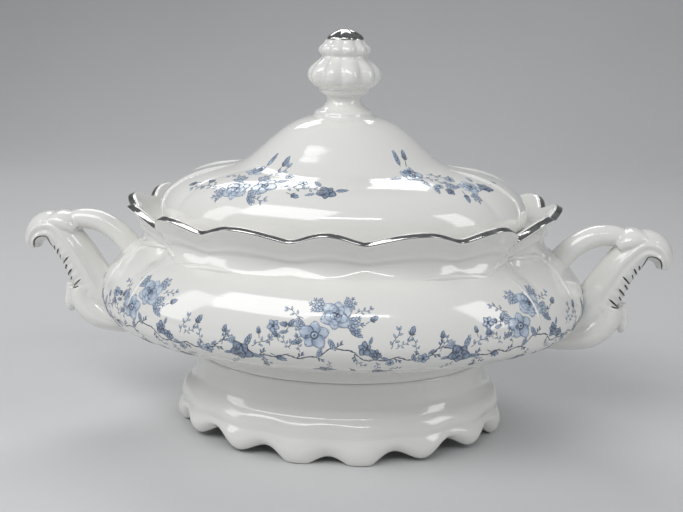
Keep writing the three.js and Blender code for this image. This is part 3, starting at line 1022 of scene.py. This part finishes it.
# one repeat of the belt: motif, distance along, height up the wall (mm), turn (degrees), size
beltSpray = [
    (vine, -46, -2.5, 0, 1), (rose, 5, 15, 10, 1.3), (openFlower, -4, 6.4, 0, 1.22),
    (feather, 9, 13, -22, 1), (feather, 8, 18, 38, 0.85), (feather, 0, 17, 150, 0.95),
    (feather, -8, 10, 172, 0.7), (leaf, 2, 5, -58, 0.8), (leaf, 11, 9, -30, 0.85),
    (leaf, -1, 1, -110, 0.7), (leaf, -9, 4, 200, 0.7), (sprig, -9, 13, 152, 0.8),
    (sprig, 13, 16, 14, 0.7), (bud, 20, 13, 30, 0.85), (bud, -16, 10, 170, 0.8),
    (pansy, 17, 1, 0, 1.1), (pansy, 21.5, -1.5, 40, 0.95), (leaf, 19, 3, 70, 0.5),
    (leaf, 24, -3, -20, 0.55), (sprig, 28, 1, 64, 0.85), (sprig, 30, 1, 30, 0.6),
    (bud, 36.5, 7, 60, 0.95), (fivePetal, 28, -6, 0, 0.9), (fivePetal, 42, -4, 20, 1.25),
    (leaf, 37, -2, -60, 0.6), (leaf, 44, -2, 40, 0.5), (darkRose, 58, -3, 0, 1.12),
    (feather, 55, 0, 120, 0.55), (leaf, 60, 0, 62, 0.85), (leaf, 62, -4, -12, 0.75),
    (leaf, 54, -4, 190, 0.6), (sprig, 56, -7, -128, 0.6), (sprig, 63, 0, 28, 0.85),
    (bud, 74, -4, -28, 1), (fivePetal, 72, 9.5, 0, 1.3), (sprig, 71, 1, 84, 0.6),
    (leaf, 75, 7, 10, 0.55), (bud, 79, 10, 60, 0.8), (sprig, 79, 1, 48, 0.9),
    (bud, 86, 6, -14, 0.75), (bud, -26, -10, -84, 0.9), (pansy, 0, -12.5, 30, 1),
    (leaf, 2, -12, -16, 0.5), (leaf, -2, -12, 200, 0.5), (darkRose, 24, -15, 30, 0.7),
    (leaf, 27, -14, 10, 0.5), (sprig, 2, -5, -86, 0.55), (sprig, 22, -5, -78, 0.7),
    (sprig, -26, -2, -92, 0.6), (sprig, 12, -4, -35, 0.6), (sprig, -14, 0, 130, 0.65),
    (sprig, 40, -2, 110, 0.7), (sprig, 49, -1, 60, 0.65), (sprig, 66, -4, -50, 0.6),
    (sprig, 84, -1, 100, 0.65), (sprig, 34, -9, 200, 0.5), (bud, 12, -12, -60, 0.7),
    (bud, 50, 5, 75, 0.75), (bud, -20, 5, 120, 0.75), (bud, 66, 6, 100, 0.7),
]
belt = dict(repeats=7, jitter=0.6)

# the two sprays on the lid: motif, X, Y (mm, seen from above), turn, size
lidSprays = [
    (rose, -44, -43, 0, 1.15), (openFlower, -31, -44, 30, 1.15), (openFlower, -38, -27, 0, 0.9),
    (feather, -48, -43, 172, 0.9), (feather, -43, -38, 100, 0.9), (feather, -38, -46, -40, 0.8),
    (feather, -34, -40, 66, 0.8), (leaf, -38, -49, -60, 0.7), (leaf, -27, -42, 12, 0.9),
    (sprig, -52, -38, 150, 0.95), (sprig, -60, -33, 155, 0.75), (bud, -57, -31, 130, 1),
    (bud, -66, -27, 160, 0.9), (sprig, -24, -46, -12, 1), (sprig, -14, -48, -10, 0.9),
    (darkRose, -3, -51, 0, 0.95), (leaf, -6, -47, 120, 0.8), (fivePetal, -14, -44, 0, 1.1),
    (fivePetal, -21, -37, 20, 1), (bud, -18, -52, -30, 0.9), (leaf, 1, -50, 8, 0.8),
    (sprig, -32, -35, 24, 1), (bud, -25, -29, 40, 0.9), (sprig, -42, -31, 160, 0.8),
    (leaf, -33, -25, 30, 0.8), (leaf, -8, -52, 190, 0.6), (sprig, -38, -50, -20, 0.8),
    (openFlower, 34, -29, 20, 1.05), (leaf, 38, -32, -50, 0.9), (leaf, 44, -36, -66, 0.8),
    (leaf, 29, -33, -150, 0.8), (rose, 60, -27, 0, 1), (darkRose, 67, -22, 40, 0.85),
    (leaf, 70, -15, 72, 1), (feather, 55, -31, -165, 0.8), (feather, 62, -31, -70, 0.7),
    (sprig, 38, -28, -8, 1), (sprig, 46, -31, 4, 0.8), (sprig, 40, -24, 14, 1),
    (fivePetal, 51, -24, 0, 1.1), (fivePetal, 46, -35, 0, 1), (bud, 58, -36, -60, 0.9),
    (leaf, 28, -26, 130, 0.8), (bud, 30, -22, 110, 0.9), (leaf, 61, -20, 110, 0.8),
    (pansy, 51, -37, 20, 0.85),
]


def printRule():  # lays motifs on a flat sheet, repeats the sheet, then wraps it all onto a wall
    inputs = [
        ("Motifs", "NodeSocketCollection"),
        ("Wall", "NodeSocketObject"),
        ("Repeats", "NodeSocketInt"),
        ("Spacing", "NodeSocketFloat"),
        ("Wrap from", "NodeSocketFloat"),
        ("Wrap to", "NodeSocketFloat"),
        ("Jitter", "NodeSocketFloat"),
        ("Seed", "NodeSocketInt"),
        ("Lift", "NodeSocketFloat"),
        ("Finish", "NodeSocketMaterial"),
    ]
    tree, bench, given = newRule("printRule", inputs)

    def noted(label, kind="FLOAT"):
        return bench.node("GeometryNodeInputNamedAttribute", {"data_type": kind}, {"Name": label})

    shelf = {"Collection": given["Motifs"], "Separate Children": True, "Reset Children": True}
    motifs = bench.node("GeometryNodeCollectionInfo", None, shelf)
    heading = bench.node("ShaderNodeCombineXYZ", None, {"Z": noted("turn")})
    size = noted("size")
    scale = bench.node("ShaderNodeCombineXYZ", None, {"X": size, "Y": size, "Z": 1.0})
    sockets = {
        "Points": given["Geometry"],
        "Instance": motifs,
        "Pick Instance": True,
        "Instance Index": noted("kind", "INT"),
        "Rotation": heading,
        "Scale": scale,
    }
    spray = bench.node("GeometryNodeInstanceOnPoints", None, sockets)
    spray = bench.node("GeometryNodeRealizeInstances", None, {"Geometry": spray})
    step = bench.node("ShaderNodeCombineXYZ", None, {"X": given["Spacing"]})
    sockets = {"Count": given["Repeats"], "Offset": step}
    line = bench.node("GeometryNodeMeshLine", {"mode": "OFFSET"}, sockets)
    spread = given["Jitter"]
    sockets = {2: spread * -1.0, 3: spread, "Seed": given["Seed"]}
    nudge = bench.node("FunctionNodeRandomValue", {"data_type": "FLOAT"}, sockets, out=1)
    nudged = bench.node("ShaderNodeCombineXYZ", None, {"X": nudge, "Y": nudge * 0.5})
    line = bench.node("GeometryNodeSetPosition", None, {"Geometry": line, "Offset": nudged})
    belt = bench.node("GeometryNodeInstanceOnPoints", None, {"Points": line, "Instance": spray})
    belt = bench.node("GeometryNodeRealizeInstances", None, {"Geometry": belt})

    wall = bench.node("GeometryNodeObjectInfo", None, {"Object": given["Wall"]}, out="Geometry")
    spot = bench.node("GeometryNodeInputPosition")
    across = bench.node("ShaderNodeSeparateXYZ", None, {0: spot}, out=0)
    up = bench.node("ShaderNodeSeparateXYZ", None, {0: spot}, out=1)
    off = bench.node("ShaderNodeSeparateXYZ", None, {0: spot}, out=2)
    wrapped = across.calc("WRAP", given["Wrap to"], given["Wrap from"])
    place = bench.node("ShaderNodeCombineXYZ", None, {"X": wrapped, "Y": up})

    def sampled(value, out=0):
        sockets = {"Mesh": wall, "Value": value, 2: noted("sheet", "FLOAT_VECTOR"), "Sample UV": place}
        return bench.node("GeometryNodeSampleUVSurface", {"data_type": "FLOAT_VECTOR"}, sockets, out=out)

    landing = sampled(bench.node("GeometryNodeInputPosition"))
    outward = sampled(bench.node("GeometryNodeInputNormal"))
    sockets = {0: outward, "Scale": off + given["Lift"]}
    push = bench.node("ShaderNodeVectorMath", {"operation": "SCALE"}, sockets)
    final = bench.node("ShaderNodeVectorMath", {"operation": "ADD"}, {0: landing, 1: push})
    laid = bench.node("GeometryNodeSetPosition", None, {"Geometry": belt, "Position": final})
    endRule(bench, laid, given["Finish"])
    return tree


printing = printRule()


def printOn(name, wall, spray, repeats, wrapFrom, wrapTo, jitter):
    spots = [(x * mm, y * mm, 0) for kind, x, y, turn, size in spray]
    piece = newPiece(name, spots, [], smooth=False)
    noteValues(piece.data, "turn", [math.radians(turn) for kind, x, y, turn, size in spray])
    noteValues(piece.data, "size", [size for kind, x, y, turn, size in spray])
    layer = piece.data.attributes.new("kind", "INT", "POINT")
    layer.data.foreach_set("value", [motifKinds.index(kind) for kind, x, y, turn, size in spray])
    applyRule(piece, printing, {
        "Motifs": motifShelf,
        "Wall": wall,
        "Repeats": repeats,
        "Spacing": (wrapTo - wrapFrom) * mm / repeats,
        "Wrap from": wrapFrom * mm,
        "Wrap to": wrapTo * mm,
        "Jitter": jitter * mm,
        "Seed": ink["seed"],
        "Lift": ink["lift"] * mm,
        "Finish": blueInk,
    })
    settle(piece)
    print(name, len(piece.data.polygons))
    return piece


frontTurn = np.array([1.5 * np.pi])
walked, beltLength = girth(belly["length"], belly["depth"], frontTurn)
frontAt = walked[0]
stalks = (vine, sprig, bud)
for name, chosen in (
    ("belly_flower_print", [row for row in beltSpray if row[0] not in stalks]),
    ("belly_vine_print", [row for row in beltSpray if row[0] in stalks]),
):
    shifted = [(kind, x + frontAt, y, turn, size) for kind, x, y, turn, size in chosen]
    beltPrint = printOn(name, bowlWall, shifted, belt["repeats"], 0.0, beltLength, belt["jitter"])
    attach(beltPrint, "bowl")
lidPrint = printOn("lid_flower_print", lidWall, lidSprays, 1, -1000.0, 1000.0, 0.0)
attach(lidPrint, "lid")

floorFinish, bench = newFinish("studioFloor")
spot = bench.node("ShaderNodeTexCoord", None, None, out="Object")
mottle = bench.node("ShaderNodeTexNoise", None, {"Vector": spot, "Scale": 3.0, "Detail": 4.0})
pale = bench.blend(mottle, (0.60, 0.605, 0.61, 1), (0.66, 0.66, 0.66, 1))
closeFinish(bench, {"Roughness": 0.55}, {"Base Color": pale})

sweep = dict(wide=6.0, front=-2.5, back=1.6, bend=0.8, tall=3.0)


def studioSweep():
    line = [(sweep["front"], 0.0), (sweep["back"] - sweep["bend"], 0.0)]
    for k in range(1, 13):
        a = math.pi / 2 * k / 12
        y = sweep["back"] - sweep["bend"] * (1 - math.sin(a))
        line.append((y, sweep["bend"] * (1 - math.cos(a))))
    line.append((sweep["back"], sweep["tall"]))
    points, faces = [], []
    for y, z in line:
        points += [(-sweep["wide"] / 2, y, z), (sweep["wide"] / 2, y, z)]
    for k in range(len(line) - 1):
        faces.append((2 * k, 2 * k + 1, 2 * k + 3, 2 * k + 2))
    floor = newPiece("studio_sweep", points, faces)
    floor.data.materials.append(floorFinish)


studioSweep()

lamps = [  # place, aim, width, height, watts
    ((-0.50, -0.70, 1.05), (0, 0, 0.08), 0.85, 0.60, 6.8),
    ((0.06, -0.72, 0.74), (0, 0, 0.10), 0.44, 0.045, 0.75),
    ((0.95, -0.45, 0.60), (0, 0, 0.08), 0.30, 0.80, 2.6),
    ((-0.95, -0.40, 0.55), (0, 0, 0.08), 0.30, 0.80, 2.0),
    ((-0.2, 0.75, 0.95), (0, 0, 0.10), 0.9, 0.35, 4.0),
]
for number, (place, aim, wide, tall, watts) in enumerate(lamps):
    lamp = bpy.data.lights.new(f"softbox_{number}", "AREA")
    lamp.shape = "RECTANGLE"
    lamp.size = wide
    lamp.size_y = tall
    lamp.energy = watts
    holder = bpy.data.objects.new(lamp.name, lamp)
    holder.location = place
    holder.rotation_euler = (Vector(aim) - Vector(place)).to_track_quat("-Z", "Y").to_euler()
    bpy.context.scene.collection.objects.link(holder)

world = bpy.data.worlds.new("studioAir")
world.use_nodes = True
world.node_tree.nodes["Background"].inputs["Color"].default_value = (0.86, 0.9, 0.95, 1)
world.node_tree.nodes["Background"].inputs["Strength"].default_value = 0.28
bpy.context.scene.world = world
bpy.context.scene.view_settings.view_transform = "Standard"

view = dict(turn=4.6, tilt=13.8, roll=0.9, distance=0.5054, height=0.0864, drop=0.0017, lens=54.1)
turn, tilt = math.radians(view["turn"]), math.radians(view["tilt"])
away = Vector((math.sin(turn) * math.cos(tilt), -math.cos(turn) * math.cos(tilt), math.sin(tilt)))
place = Vector((0, 0, view["height"])) + away * view["distance"]
aim = Vector((0, 0, view["height"] - view["drop"]))
camera = bpy.data.cameras.new("camera")
camera.lens = view["lens"]
camera.sensor_width = 36
camera.clip_start = 0.01
eye = bpy.data.objects.new("camera", camera)
look = (aim - place).to_track_quat("-Z", "Y").to_matrix().to_4x4()
eye.matrix_world = Matrix.Translation(place) @ look @ Matrix.Rotation(math.radians(view["roll"]), 4, "Z")
bpy.context.scene.collection.objects.link(eye)
bpy.context.scene.camera = eye
print("studio set")
